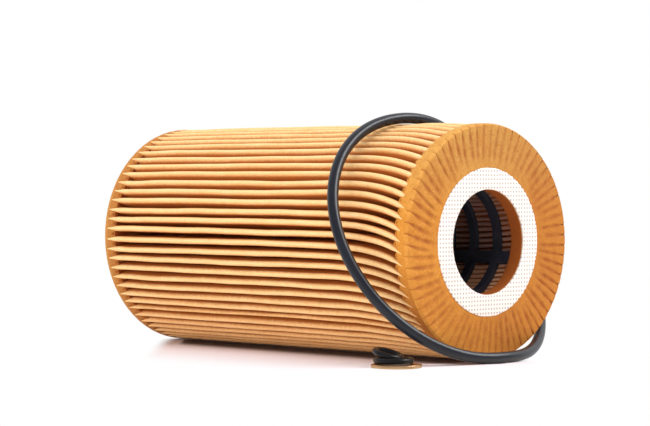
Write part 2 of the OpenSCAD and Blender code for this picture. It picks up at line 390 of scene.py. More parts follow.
def sheetFace(along, outerR, innerR):
    m = medium
    places = pleatPlaces(along)
    between = (places + np.roll(places, -1, 0)) / 2
    between[-1] += math.pi
    held = smooth(*m["riseFrom"], along) * smooth(*m["riseFrom"], elementL - along)
    rise = np.abs(waves(m["riseSeed"], m["pleats"], along / elementL, m["risePace"]))
    rise = m["rise"] * rise * held
    wide = foldWidth(along, places)
    wide[m["narrow"]] *= m["narrowShare"]
    rise[m["narrow"]] += m["narrowSink"] * held
    swell = m["swell"] * smooth(*m["swellFrom"], np.minimum(along, elementL - along))
    behind = smooth(*m["nearSwellFrom"], along) * (1 - smooth(*m["nearSwellTo"], along))
    swell = swell + m["nearSwell"] * behind
    swell = swell - m["dent"] * np.exp(-((along - m["dentAt"]) / m["dentWide"]) ** 2)
    tip = elementR - m["tipGap"] + swell * smooth(*m["swellLow"], np.cos(places))
    outerC = tip - (m["outerFold"] + m["paper"]) * m["tall"] * wide - rise
    innerC = coreR + m["coreGap"] + m["innerFold"] + m["paper"]
    outerTurns = np.radians(np.linspace(-90, 90, m["outerSteps"]))
    innerTurns = np.radians(180 + np.linspace(m["innerTurn"], -m["innerTurn"], m["innerSteps"]))
    r1, a1 = foldArc(outerC[:, :, None], places[:, :, None], outerR * wide[:, :, None], outerTurns,
                     m["square"], m["tall"])
    r2, a2 = foldArc(innerC, between[:, :, None], innerR, innerTurns)
    r2 = np.broadcast_to(r2, a2.shape)
    radius = np.concatenate([r1, r2], 2).transpose(1, 0, 2).reshape(len(along), -1)
    angle = np.concatenate([a1, a2], 2).transpose(1, 0, 2).reshape(len(along), -1)
    deep = np.repeat(tip.T, m["outerSteps"] + m["innerSteps"], 1) - radius
    return toSpace(along[:, None], radius, angle), deep


def buildMedium():
    m = medium
    near, far = (np.linspace(m[key], m["endZone"], m["endStations"], endpoint=False)
                 for key in ("nearStart", "farStart"))
    middle = np.linspace(m["endZone"], elementL - m["endZone"], m["stations"])
    along = np.concatenate([near, middle, elementL - far[::-1]])
    outside, deepOut = sheetFace(along, m["outerFold"] + m["paper"], m["innerFold"])
    inside, deepIn = sheetFace(along, m["outerFold"], m["innerFold"] + m["paper"])
    rows, columns = outside.shape[:2]
    points = np.concatenate([outside.reshape(-1, 3), inside.reshape(-1, 3)])
    skin = gridQuads(rows, columns)
    count = rows * columns
    first = np.arange(columns)
    after = (first + 1) % columns
    last = first + (rows - 1) * columns
    lastAfter = after + (rows - 1) * columns
    caps = [np.stack([after, first, first + count, after + count], 1),
            np.stack([last, lastAfter, lastAfter + count, last + count], 1)]
    quads = np.concatenate([skin, skin[:, ::-1] + count, *caps])
    return addPiece("pleatedPaper", points, quads.tolist(), paperFinish(), "element",
                    "pleated_medium", {"deep": np.concatenate([deepOut.ravel(), deepIn.ravel()])})


# glue on the seam of the sheet
seam = {
    "honey": (0.72, 0.52, 0.26),
    "cream": (0.82, 0.68, 0.42),
    "blotchNoise": (220.0, 3.0),
    "blotchEdge": (0.35, 0.7),
    "rough": 0.35,
    "gloss": 0.5,
    "nap": (0.2 * mm, 0.4),
    "pleat": 30,           # the pleat that the bead runs along
    "stations": 160,
    "sides": 10,
    "width": 0.75 * mm,
    "lumpy": 0.16,         # how uneven that width is
    "lumps": 4.0,          # and how close its lumps are
    "flat": 0.62,          # height of the bead, of its width
    "sink": 0.55 * mm,
    "seed": 31,
}


def glueFinish():
    f = Finish("seamGlue")
    blotch = f.noise(*seam["blotchNoise"])
    colour = f.mix(f.steps(blotch, *seam["blotchEdge"]), seam["honey"], seam["cream"])
    return f.set(Base_Color=colour, Roughness=seam["rough"], Specular_IOR_Level=seam["gloss"],
                 Normal=f.bump(blotch, *seam["nap"]))


def buildSeam():
    along = np.linspace(discDepth, elementL - discDepth, seam["stations"])
    place = pleatPlaces(along)[seam["pleat"]]
    lump = waves(seam["seed"], 2, along / elementL, seam["lumps"])
    turns = np.linspace(0, 2 * math.pi, seam["sides"], endpoint=False)
    width = seam["width"] * (1 + seam["lumpy"] * lump[0])[:, None]
    out = pleatTipR - seam["sink"] - width / 2 + width * seam["flat"] * np.cos(turns)
    side = width * np.sin(turns)
    points = toSpace(along[:, None], np.hypot(out, side), place[:, None] + np.arctan2(side, out))
    quads = gridQuads(seam["stations"], seam["sides"]).tolist()
    last = (seam["stations"] - 1) * seam["sides"]
    quads.append(list(range(seam["sides"]))[::-1])
    quads.append([last + i for i in range(seam["sides"])])
    return addPiece("seamBead", points.reshape(-1, 3), quads, glueFinish(), "element", "seam_glue")


# felt end discs
def feltFinish():
    look = {
        "gold": (0.645, 0.262, 0.034),
        "brown": (0.47, 0.155, 0.020),
        "pale": (0.80, 0.40, 0.095),
        "dark": (0.32, 0.072, 0.012),
        "high": (0.60, 0.345, 0.092),    # painted sheen: paler and less golden high on the element
        "sheenHighShare": 0.85,
        "sheenHighTurn": (4.0 * mm, 30.0 * mm),
        "far": (0.50, 0.245, 0.068),     # less golden at the far end
        "farTurn": (-110.0 * mm, -60.0 * mm),
        "cloudNoise": (75.0, 4.0),       # patterns of the felt, as on the paper
        "blotchNoise": (420.0, 4.0, 0.6),
        "grainNoise": (1500.0, 4.0, 0.7),
        "fuzzNoise": (3200.0, 2.0, 0.7),
        "cloud": (0.36, 0.74, 0.45),
        "blotch": (0.50, 0.80, 0.50),
        "paleBlotch": (0.52, 0.78, 0.40),
        "grain": (0.48, 0.68, 0.70),
        "fuzz": (0.50, 0.70, 0.50),
        "lineEdge": (0.1, 1.6),          # soft edge of a crease, in crease widths
        "rough": 0.78,
        "gloss": 0.25,
        "napGrain": 0.6,
        "napFuzz": 0.3,
        "napBlotch": 0.8,
        "nap": (0.18 * mm, 0.8),
    }
    f = Finish("pressedFelt")
    patterns = ("cloud", "blotch", "grain", "fuzz")
    cloud, blotch, grain, fuzz = (f.noise(*look[key + "Noise"]) for key in patterns)
    x, z = f.axes(f.place)[::2]
    # painted sheen high on the element
    colour = f.mix(f.steps(z, *look["sheenHighTurn"]) * look["sheenHighShare"], look["gold"], look["high"])
    colour = f.mix(f.steps(x, *look["farTurn"]), look["far"], colour)
    colour = f.mix(f.spots(cloud, *look["cloud"]), colour, look["brown"])
    colour = f.mix(f.spots(blotch, *look["blotch"]), colour, look["brown"])
    colour = f.mix(f.spots(1.0 - blotch, *look["paleBlotch"]), colour, look["pale"])
    colour = f.mix(f.spots(grain, *look["grain"]), colour, look["brown"])
    colour = f.mix(f.spots(fuzz, *look["fuzz"]), colour, look["pale"])
    # painted highlight on the chamfer lips
    colour = f.mix(f.mark("edgeHighlight"), colour, look["pale"])
    # painted shade along the crease lines
    line = f.steps(f.mark("apart"), *look["lineEdge"], 1.0, 0.0) * f.mark("line")
    colour = f.mix(line, colour, look["dark"])
    # painted shade: strips beside the creases, tears, pits, ends of the felt among the folds, the bore wall
    # and darker sides of the rim
    colour = f.mix(f.mark("paintedShade"), colour, look["dark"])
    height = grain * look["napGrain"] + fuzz * look["napFuzz"] + blotch * look["napBlotch"]
    return f.set(Base_Color=colour, Roughness=look["rough"], Specular_IOR_Level=look["gloss"],
                 Normal=f.bump(height, *look["nap"]))


disc = {
    # rows and columns of the mesh
    "perPleat": 24,
    "faceRows": 28,
    "bandRows": 3,
    "slopeRows": 16,
    "endRows": 9,
    "wallRows": 6,
    # seat of the pale ring, outer edge and rim
    "seatSoft": 0.05 * mm,
    "faceFrom": 0.3 * mm,               # the face begins this far outside the pale ring
    "nearEdge": (0.7 * mm, 1.0 * mm),   # chamfer of the outer edge, across and along
    "nearEdgeLeast": 0.3,               # share of it on the other side
    "nearEdgeAt": 285.0,
    "farEdge": (0.25 * mm, 0.3 * mm),
    "edgeSteps": (0.05, 0.3, 0.65, 0.95),
    "edgeSoft": 0.05 * mm,
    # painted highlight on the chamfer lips, and its least share from pleat to pleat
    "edgeHighlightShare": 0.40,
    "edgeHighlightLeast": 0.4,
    "bandEnd": 1.45 * mm,
    "bandKept": (0.8, 0.35),            # how much of a crease goes on over the rim
    "flare": 0.40 * mm,                 # how far the near rim stands out on one side
    "flareAt": 100.0,
    "flareLow": (-1.0, -0.8),           # none where it lies on the floor: cosine from the top
    # creases of the face
    "creaseDepth": 0.30 * mm,
    "creaseWide": (0.18 * mm, 0.72 * mm),   # at the rim, and farther in
    "creaseWideUneven": (0.8, 1.2),
    # painted shade along the creases, at the rim and farther in
    "creaseShadeTint": (0.95, 0.78),
    "creaseNone": 3.0,          # distance from a crease, in crease widths, at which none shows
    "creaseOpens": 4.5 * mm,    # distance from the rim over which a crease grows wide
    "creaseStrongAt": 300.0,    # where the creases are clearest, and across from there, degrees
    "creaseMean": 0.84,
    "creaseSway": 0.16,
    "creaseUneven": (0.7, 1.1),
    "beat": (0.12 / mm, 0.30 / mm),     # a crease comes and goes this often along itself
    "beatTurn": 6.28,           # one such beat, radians
    "beatShare": 0.20,
    "shadeDepth": 0.12 * mm,    # each strip of the face dips at one of its creases
    "shadeWide": 1.1 * mm,
    "shadeReach": 4.0 * mm,
    "shadeTint": 0.20,
    "sideShadeTint": 0.32,           # painted shade: the face is a little darker on the side of the flare
    "lean": -2.6,               # slant of the creases, degrees from the rim to the middle
    "leanSway": 2.4,
    "leanSwayAt": 250.0,
    "leanUneven": 0.7,
    "fadeFrom": 22.6 * mm,      # radius at which they end
    "fadeTo": 27.0 * mm,
    "fadeUneven": (-1.2 * mm, 2.4 * mm),
    # tears across the rim
    "slitFrom": 15.0,           # the rim is torn between the pleats on this side, degrees
    "slitTo": 158.0,
    "slitShare": 0.7,
    "slitLeast": 0.5,
    "slitWide": 0.18 * mm,
    "slitDepth": 0.6 * mm,
    "slitReach": (2.0 * mm, 0.5 * mm),   # distance from the rim at which a tear begins and is full
    # painted shade in the tears
    "slitShadeTint": 0.85,
    "sideShare": 0.22,          # share of these depths on the rim
    # felt among the folds
    "nearCover": (1.8 * mm, 3.0 * mm),   # depth at which the points of the folds come out of the felt
    "nearCapped": 4.2 * mm,              # the same on the upper side, where more felt covers them
    "cappedAt": 15.0,
    "cappedReach": 82.0,
    "cappedSoft": 5.0,
    "farCover": (0.7 * mm, 1.5 * mm),
    "bareOver": 0.7 * mm,
    "bare": 0.24 * mm,          # how far the felt lies below the rim along a bared point
    "nearDrop": 3.9 * mm,       # depth at which the felt begins to sink to its end in the gaps
    "farDrop": 2.0 * mm,
    "nearEnd": (5.2 * mm, 6.0 * mm),
    "farEnd": (4.0 * mm, 5.2 * mm),
    "ridgeDrop": 0.95 * mm,
    "sag": 0.40 * mm,
    "nearEndLong": 1.2 * mm,
    "farEndLong": 0.25 * mm,
    "nearEndTint": (0.30, 0.65),   # painted shade at the end in a gap, and how much more below
    "farEndTint": (0.85, 0.15),
    "endDrop": 4.8 * mm,
    "endCurve": 1.15,
    "pitShare": 0.75,           # most gaps have a small pit at the end of the felt
    "pitLeast": 0.5,
    "pitDepth": 1.1 * mm,
    "pitWide": 0.13,            # of the pitch
    "pitLong": 0.35 * mm,
    "pitBack": 0.6 * mm,
    # painted shade in the pits
    "pitShadeTint": 0.95,
    # painted shade over the far felt among the folds
    "farTint": 0.36,
    "lowShadowTint": 0.55,            # painted shadow: the near rim is darker low on the camera's side
    "lowShadowAt": 224.0,
    "lowShadowWide": 26.0,
    # back and bore
    "backIn": 9.0 * mm,         # the back begins this far inside the rim
    "backHollow": 0.6 * mm,
    "backFlat": 4.0 * mm,       # and is flat from here, outside the core
    "boreSoft": 0.15 * mm,
    "wallFrom": 0.6 * mm,       # distance of the bore's wall from the back and from the pale ring
    "wallTo": 0.4 * mm,
    # painted shade on the wall of the bore
    "wallShadeTint": 0.90,
    "nearSeed": 19,
    "farSeed": 119,
}


def atEnd(far, key):
    return disc[("far" if far else "near") + key]


def creaseField(angle, radius, lines, rng):
    # for each point: distance from the nearest crease in crease widths, strength of that crease,
    # and the dip of the strip beside it
    d, n = disc, len(lines)
    turned = np.degrees(lines)
    power = d["creaseMean"] + d["creaseSway"] * np.cos(2 * np.radians(turned - d["creaseStrongAt"]))
    power = power * rng.uniform(*d["creaseUneven"], n)
    lean = d["lean"] - d["leanSway"] * np.cos(np.radians(turned - d["leanSwayAt"]))
    lean = lean + rng.normal(0, d["leanUneven"], n)
    reach = rng.uniform(*d["fadeUneven"], n)
    pace = rng.uniform(*d["beat"], n)
    phase = rng.uniform(0, d["beatTurn"], n)
    opened = smooth(0, d["creaseOpens"], elementR - radius)
    wide = d["creaseWide"][0] + (d["creaseWide"][1] - d["creaseWide"][0]) * opened
    tint = d["creaseShadeTint"][0] + (d["creaseShadeTint"][1] - d["creaseShadeTint"][0]) * opened
    spread = rng.uniform(*d["creaseWideUneven"], n)
    apart, strength, shade = np.full(angle.shape, d["creaseNone"]), *np.zeros((2, *angle.shape))
    for k in range(n):
        bent = lines[k] + math.radians(lean[k]) * (elementR - radius) / (elementR - sealR)
        away = ((angle - bent + math.pi) % (2 * math.pi) - math.pi) * radius
        fade = smooth(d["fadeFrom"] + reach[k], d["fadeTo"] + reach[k], radius) * power[k]
        beat = np.sin(radius * pace[k] * d["beatTurn"] + phase[k])
        fade *= 1 - d["beatShare"] + d["beatShare"] * beat
        here = np.abs(away) / (wide * spread[k])
        nearer = here < apart
        apart[nearer] = here[nearer]
        strength[nearer] = (fade * tint)[nearer]
        beside = (away > 0) & (away < d["shadeReach"])
        shade = np.maximum(shade, np.where(beside, np.exp(-away / d["shadeWide"]), 0) * fade)
    return apart, strength, shade


def feltFace(far, angle):
    # rows over the seat of the pale ring, the face, the chamfer and the rim: angle, radius, depth,
    # share of a crease that goes inwards along the axis, share of it that is kept, and 1 on the chamfer
    d = disc
    across, along = (size * np.ones_like(angle) for size in atEnd(far, "Edge"))
    if not far:
        least = d["nearEdgeLeast"]
        share = (1 + least) / 2 + (1 - least) / 2 * np.cos(angle - math.radians(d["nearEdgeAt"]))
        across, along = across * share, along * share
    soft = d["edgeSoft"]
    slant = np.array(d["edgeSteps"])[:, None]
    seat = np.array([boreR, sealR - d["seatSoft"], sealR + d["seatSoft"]])[:, None] + 0 * angle
    faceR = np.linspace(sealR + d["faceFrom"], elementR - across - soft, d["faceRows"])
    bandD = np.linspace(discFace + along + soft, d["bandEnd"], d["bandRows"])
    radius = np.concatenate([seat, faceR, elementR - across + across * slant, elementR + 0 * bandD])
    depth = np.concatenate([np.array([sealT, sealT, discFace])[:, None] + 0 * angle, discFace + 0 * faceR,
                            discFace + along * slant, bandD])
    rows = [len(seat) + d["faceRows"], len(slant), d["bandRows"]]
    inward = np.repeat([1.0, 0.5, 0.0], rows)
    edge = np.repeat([0.0, 1.0, 0.0], rows)
    kept = np.concatenate([np.zeros(len(seat)), np.ones(d["faceRows"] + len(slant)),
                           np.linspace(*d["bandKept"], d["bandRows"])])
    spread = [np.repeat(row[:, None], len(angle), 1) for row in (inward, kept, edge)]
    return (np.repeat(angle[None, :], len(radius), 0), radius, depth, *spread)


def rimTears(radius, kept, lines, step, share, rng):
    # short tears across the rim, between the pleats of one side
    d, n = disc, len(lines)
    turned = np.degrees(lines) % 360
    torn = (turned > d["slitFrom"]) & (turned < d["slitTo"])
    torn &= rng.uniform(0, 1, n) < d["slitShare"]
    power = np.repeat(torn * rng.uniform(d["slitLeast"], 1.0, n), d["perPleat"])[None, :]
    away = (np.abs(share - 0.5) * np.repeat(step, d["perPleat"]))[None, :] * radius
    begins, full = d["slitReach"]
    reach = smooth(elementR - begins, elementR - full, radius)
    return np.exp(-(away / d["slitWide"]) ** 2) * reach * power * kept


def feltAmongFolds(far, place, share, rng):
    # the points of the folds come out of the felt, which sinks and ends in a soft tongue in each gap
    d, n, per = disc, len(place), disc["perPleat"]
    cover = rng.uniform(*atEnd(far, "Cover"), n)
    if not far:
        turned = np.abs((np.degrees(place) - d["cappedAt"] + 180) % 360 - 180)
        reach, soft = d["cappedReach"], d["cappedSoft"]
        cover = cover + (d["nearCapped"] - cover) * (1 - smooth(reach - soft, reach + soft, turned))
    nearest = (np.repeat(np.arange(n), per) + (share >= 0.5)) % n
    cover = cover[nearest][None, :]
    ends = np.repeat(rng.uniform(*atEnd(far, "End"), n), per)[None, :]
    level = np.linspace(0, 1, d["slopeRows"] + 1)[1:, None]
    depth = d["bandEnd"] + (ends - d["bandEnd"]) * level
    bared = smooth(cover, cover + d["bareOver"], depth)
    drop = smooth(np.maximum(atEnd(far, "Drop"), cover), ends, depth)
    hump = np.sin(math.pi * share)[None, :] ** 2
    radius = elementR - (d["bare"] * bared + d["ridgeDrop"] * drop) * (1 - hump) - d["sag"] * drop * hump
    pitted = (rng.uniform(0, 1, n) < d["pitShare"]) * rng.uniform(d["pitLeast"], 1, n)
    across = (share[None, :] - 0.5) / d["pitWide"]
    along = (depth - ends + d["pitBack"]) / d["pitLong"]
    pit = np.repeat(pitted, per)[None, :] * np.exp(-across ** 2 - along ** 2)
    return radius - d["pitDepth"] * pit, depth, drop, pit


def buildDisc(name, node, far):
    d = disc
    rng = np.random.RandomState(atEnd(far, "Seed"))
    n, per = medium["pleats"], d["perPleat"]
    place = pleatPlaces(np.array([elementL - discDepth if far else discDepth]))[:, 0]
    step = (np.roll(place, -1) - place) % (2 * math.pi)
    share = np.arange(per) / per
    angle = (place[:, None] + step[:, None] * share[None, :]).ravel()
    columns = n * per
    share = np.tile(share, n)
    lines = place + step / 2

    # face and rim, with their creases and tears
    angles, radius, depth, inward, kept, edge = feltFace(far, angle)
    top = len(radius)
    apart, strength, shade = creaseField(angles, radius, lines, rng)
    strength *= kept
    shade *= kept
    slit = rimTears(radius, kept, lines, step, share, rng)
    sunk = d["creaseDepth"] * np.exp(-apart ** 2) * strength
    sunk += d["shadeDepth"] * shade + d["slitDepth"] * slit
    depth += sunk * inward
    radius -= sunk * (1 - inward) * d["sideShare"]
    # painted shade beside the creases and in the tears
    paintedShade = np.clip(d["shadeTint"] * shade + d["slitShadeTint"] * slit, 0, 1)
    # painted highlight on the chamfer lips, uneven from pleat to pleat
    wearAndHighlight = np.repeat(rng.uniform(d["edgeHighlightLeast"], 1.0, n), per)[None, :]
    edgeHighlight = d["edgeHighlightShare"] * edge * (1 - shade) * wearAndHighlight

    slopeR, slopeD, drop, pit = feltAmongFolds(far, place, share, rng)
    if not far:
        side = 0.5 + 0.5 * np.cos(angle - math.radians(d["flareAt"]))
        # painted shade on the side of the flare
        paintedShade += d["sideShadeTint"] * side * (1 - paintedShade)
        flare = d["flare"] * side ** 2 * smooth(*d["flareLow"], np.cos(angle))
        radius = radius + flare * smooth(sealR, elementR, radius)
        slopeR = slopeR + flare * (1 - drop)
    fall = np.linspace(0, 1, d["endRows"] + 1)[1:, None]
    endD = slopeD[-1:] + atEnd(far, "EndLong") * fall
    endR = slopeR[-1:] - d["endDrop"] * fall ** d["endCurve"]

    # back of the disc and wall of the bore
    soft = d["boreSoft"]
    backR = np.array([elementR - d["backIn"], coreR + d["backFlat"], boreR + soft, boreR])
    backD = discDepth + np.array([d["backHollow"], 0.0, 0.0, -soft])
    wallD = np.linspace(discDepth - d["wallFrom"], sealT + d["wallTo"], d["wallRows"])
    lastR = np.repeat(np.concatenate([backR, np.full(d["wallRows"], boreR)])[:, None], columns, 1)
    lastD = np.repeat(np.concatenate([backD, wallD])[:, None], columns, 1)

    radius = np.concatenate([radius, slopeR, endR, lastR])
    depth = np.concatenate([depth, slopeD, endD, lastD])
    rows = len(radius)
    tint, pale, drawn = np.zeros((3, rows, columns))
    tint[:top], pale[:top], drawn[:top] = paintedShade, edgeHighlight, strength
    off = np.full((rows, columns), d["creaseNone"])
    off[:top] = apart
    ended = top + d["slopeRows"]
    # painted shade in the pits, and over the whole far felt among the folds
    tint[top:ended] = np.clip(d["pitShadeTint"] * pit + (d["farTint"] if far else 0), 0, 1)
    least, more = atEnd(far, "EndTint")
    # painted shade on the ends of the felt in the gaps
    tint[ended:ended + d["endRows"]] = least + more * np.sqrt(fall)
    if not far:
        # painted shadow low on the camera's side of the near rim
        turned = (np.degrees(angle) - d["lowShadowAt"] + 180) % 360 - 180
        tint[top - d["bandRows"]:ended] += d["lowShadowTint"] * np.exp(-(turned / d["lowShadowWide"]) ** 2)
        tint = np.clip(tint, 0, 1)
    # painted shade on the wall of the bore
    tint[-d["wallRows"] - 1:] = d["wallShadeTint"]
    points = toSpace(elementL - depth if far else depth, radius, np.repeat(angle[None, :], rows, 0))
    quads = gridQuads(rows, columns, closeRows=True)
    if not far:
        quads = quads[:, ::-1]
    marks = {"paintedShade": tint.ravel(), "edgeHighlight": pale.ravel(), "apart": off.ravel(), "line": drawn.ravel()}
    return addPiece(name, points.reshape(-1, 3), quads.tolist(), feltLook, "element", node, marks)


# pale sealing rings
seal = {
    "white": (0.94, 0.89, 0.84),
    "dot": (0.40, 0.31, 0.34),
    "dotShare": 0.70,
    "dotEdge": (0.35, 1.65),
    "dotWear": 0.4,         # how uneven the dots are
    "wearNoise": (300.0, 3.0),
    "stain": (0.5, 0.8, 0.06),
    "rough": 0.7,
    "gloss": 0.3,
    "nap": (0.10 * mm, 0.5),
    "pitch": 1.27 * mm,     # of the mesh
    "columns": 540,
    "faceSteps": (0.2, 0.4, 0.6, 0.8),
    "jag": 0.10 * mm,       # the edge is cut through the mesh, so it is scalloped
    "scallop": 0.6,
    "round": 0.10 * mm,
    "roundStep": 0.3,
    "seatGap": 0.02 * mm,
    "seed": 43,
}


def sealFinish():
    f = Finish("sealMesh")
    turns = 2 * math.pi / seal["pitch"]
    y, z = f.axes(f.place)[1:]
    waveY, waveZ = (f.node("ShaderNodeMath", {"operation": "COSINE"}, {0: axis * turns}) for axis in (y, z))
    wearAndHighlight = f.noise(*seal["wearNoise"])
    dots = f.steps(waveY + waveZ + wearAndHighlight * seal["dotWear"], *seal["dotEdge"])
    colour = f.mix(dots * seal["dotShare"], seal["white"], seal["dot"])
    colour = f.mix(f.spots(wearAndHighlight, *seal["stain"]), colour, seal["dot"])
    return f.set(Base_Color=colour, Roughness=seal["rough"], Specular_IOR_Level=seal["gloss"],
                 Normal=f.bump(1.0 - dots, *seal["nap"]))


def buildSeal(name, node, far):
    rng = np.random.RandomState(seal["seed"] + far)
    angle = np.linspace(0, 2 * math.pi, seal["columns"], endpoint=False)
    turns = 2 * math.pi * sealR / seal["pitch"]
    mesh = np.cos(turns * np.sin(angle)) + np.cos(turns * np.cos(angle))
    jag = seal["jag"] * (rng.uniform(-0.5, 0.5, seal["columns"]) - seal["scallop"] * mesh)
    soft = seal["round"]
    part = soft * seal["roundStep"]
    foot = sealT - seal["seatGap"]
    profile = [(boreR, foot), (boreR, soft), (boreR + part, part), (boreR + soft, 0.0)]
    profile += [(boreR + (sealR - boreR) * share, 0.0) for share in seal["faceSteps"]]
    outer = [(sealR - soft, 0.0), (sealR - part, part), (sealR, soft), (sealR, foot)]
    profile += outer
    radius, depth = (np.repeat(np.array(row)[:, None], seal["columns"], 1) for row in zip(*profile))
    radius[-len(outer):] += jag[None, :]
    points = toSpace(elementL - depth if far else depth, radius, np.repeat(angle[None, :], len(profile), 0))
    quads = gridQuads(len(profile), seal["columns"], closeRows=True)
    if not far:
        quads = quads[:, ::-1]
    return addPiece(name, points.reshape(-1, 3), quads.tolist(), sealLook, "element", node)


# core
def coreFinish():
    look = {
        "dark": (0.021, 0.026, 0.041),
        "light": (0.034, 0.040, 0.061),
        "cloudNoise": (120.0, 3.0),
        "cloudEdge": (0.4, 0.7),
        "grainNoise": (900.0, 2.0),
        "rough": 0.42,
        "grainRough": 0.2,
        "gloss": 0.4,
        "nap": (0.05 * mm, 0.3),
    }
    f = Finish("mouldedCore")
    cloud, grain = f.noise(*look["cloudNoise"]), f.noise(*look["grainNoise"])
    colour = f.mix(f.steps(cloud, *look["cloudEdge"]), look["dark"], look["light"])
    return f.set(Base_Color=colour, Roughness=look["rough"] + grain * look["grainRough"],
                 Specular_IOR_Level=look["gloss"], Normal=f.bump(grain, *look["nap"]))


# O-rings
ring = {
    "cover": {"dark": (0.006, 0.007, 0.013), "light": (0.009, 0.011, 0.019), "rough": 0.29, "gloss": 0.42},
    "stem": {"dark": (0.005, 0.005, 0.006), "light": (0.008, 0.008, 0.010), "rough": 0.26, "gloss": 0.24},
    "cloudNoise": (70.0, 3.0),
    "cloudEdge": (0.35, 0.7),
    "dust": (0.06, 0.07, 0.09),
    "dustNoise": (420.0, 3.0, 0.6),
    "dusty": (0.64, 0.82, 0.12),
    "dustRough": 0.10,
    "nap": (0.03 * mm, 0.15),
    "coverColumns": 400,
    "stemColumns": 128,
    "sides": 36,
    "terms": 14,          # waves in the curve of a bent ring
    "full": 1.03,         # thickness of the section, of the frame's own
    "flash": 0.018,       # height of the mould line, of the section
    "flashWide": 0.10,
}


def rubberFinish(name, look):
    f = Finish(name)
    dust, cloud = f.noise(*ring["dustNoise"]), f.noise(*ring["cloudNoise"])
    colour = f.mix(f.steps(cloud, *ring["cloudEdge"]), look["dark"], look["light"])
    colour = f.mix(f.spots(dust, *ring["dusty"]), colour, ring["dust"])
    return f.set(Base_Color=colour, Roughness=look["rough"] + dust * ring["dustRough"],
                 Specular_IOR_Level=look["gloss"], Normal=f.bump(dust, *ring["nap"]))


def ringCurve(node, count):
    # centre line, its plane and the half section of a ring that the frame holds, also when it is bent
    points = np.array([v.co for v in frame["nodes"][node].data.vertices])
    centre = (points.max(0) + points.min(0)) / 2
    away = points - centre
    axis = np.linalg.svd(away - away.mean(0), full_matrices=False)[2][2]
    axis = axis * np.sign(axis[2])
    first = np.cross(axis, (0, 1, 0))
    first /= np.linalg.norm(first)
    second = np.cross(axis, first)

    def series(turns):
        rows = [np.ones_like(turns)]
        for k in range(1, ring["terms"] + 1):
            rows += [np.cos(k * turns), np.sin(k * turns)]
        return np.stack(rows, 1)

    turns = np.arctan2(away @ second, away @ first)
    spread = np.hypot(away @ first, away @ second)
    fit = np.linalg.lstsq(series(turns), np.stack([spread, away @ axis], 1), rcond=None)[0]
    around = np.linspace(0, 2 * math.pi, count, endpoint=False)
    out, up = (series(around) @ fit).T
    line = (centre + (out * np.cos(around))[:, None] * first + (out * np.sin(around))[:, None] * second
            + up[:, None] * axis)
    gaps = np.linalg.norm(points[:, None, :] - line[None, ::2, :], axis=2).min(1)
    return line, axis, float(np.median(gaps))


def buildRing(name, node, body, columns, material):
    line, axis, half = ringCurve(node, columns)
    ahead = np.roll(line, -1, 0) - np.roll(line, 1, 0)
    ahead /= np.linalg.norm(ahead, axis=1)[:, None]
    out = np.cross(ahead, axis)
    out /= np.linalg.norm(out, axis=1)[:, None]
    up = np.cross(out, ahead)
    turns = np.linspace(0, 2 * math.pi, ring["sides"], endpoint=False)
    # mould line at the outer and inner equator
    seamLine = np.exp(-(np.sin(turns) / ring["flashWide"]) ** 2)
    thick = half * ring["full"] * (1 - ring["flash"] + ring["flash"] * seamLine)
    points = (line[:, None, :] + (thick * np.cos(turns))[None, :, None] * out[:, None, :]
              + (thick * np.sin(turns))[None, :, None] * up[:, None, :])
    quads = gridQuads(columns, ring["sides"], closeRows=True)[:, ::-1]
    return addPiece(name, points.reshape(-1, 3), quads.tolist(), material, body, node)


# washer
washer = {
    "bright": (0.64, 0.39, 0.21),
    "dull": (0.46, 0.255, 0.125),
    "stainNoise": (260.0, 3.0),
    "stainEdge": (0.4, 0.75),
    "rough": 0.26,
    "rubbed": 0.22,        # how much rougher it is where it was rubbed
    "rubNoise": (1.0, 3.0, 0.6),
    "rubStretch": (500.0, 500.0, 2500.0),
    "nap": (0.04 * mm, 0.4),
    "columns": 160,
    "round": 0.22 * mm,
    "cornerSteps": 5,
}


def copperFinish():
    f = Finish("washerCopper")
    rub = f.noise(*washer["rubNoise"], f.stretched(*washer["rubStretch"]))
    stain = f.noise(*washer["stainNoise"])
    colour = f.mix(f.steps(stain, *washer["stainEdge"]), washer["bright"], washer["dull"])
    return f.set(Base_Color=colour, Metallic=1.0, Roughness=washer["rough"] + rub * washer["rubbed"],
                 Normal=f.bump(rub, *washer["nap"]))


def buildWasher():
    low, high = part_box("drain_plug_washer")
    middle = (low + high) / 2
    outer = (high.x - low.x) / 2
    inner = mountOf("washer_hole")["dims"]["r_mm"] * mm
    thick = high.z - low.z
    soft = washer["round"]
    profile = []
    for cx, cz, start in ((outer - soft, thick - soft, 0), (inner + soft, thick - soft, 90),
                          (inner + soft, soft, 180), (outer - soft, soft, 270)):
        corner = np.radians(np.linspace(start, start + 90, washer["cornerSteps"]))
        profile += [(cx + soft * math.cos(turn), cz + soft * math.sin(turn)) for turn in corner]
    profile = np.array(profile)
    around = np.linspace(0, 2 * math.pi, washer["columns"], endpoint=False)
    x = middle.x + profile[:, 0][None, :] * np.cos(around)[:, None]
    y = middle.y + profile[:, 0][None, :] * np.sin(around)[:, None]
    z = np.broadcast_to(low.z + profile[:, 1][None, :], x.shape)
    quads = gridQuads(washer["columns"], len(profile), closeRows=True)[:, ::-1]
    points = np.stack([x, y, z], -1).reshape(-1, 3)
    return addPiece("copperWasher", points, quads.tolist(), copperFinish(),
                    "washer", "drain_plug_washer")


# camera, where the photograph was taken from
view = {
    "place": (0.4719, -0.5322, 0.01994),
    "turn": 45.567,
    "tilt": 0.897,
    "lens": 129.62,
    "sensor": 36.0,
    "reach": 20.0,
}


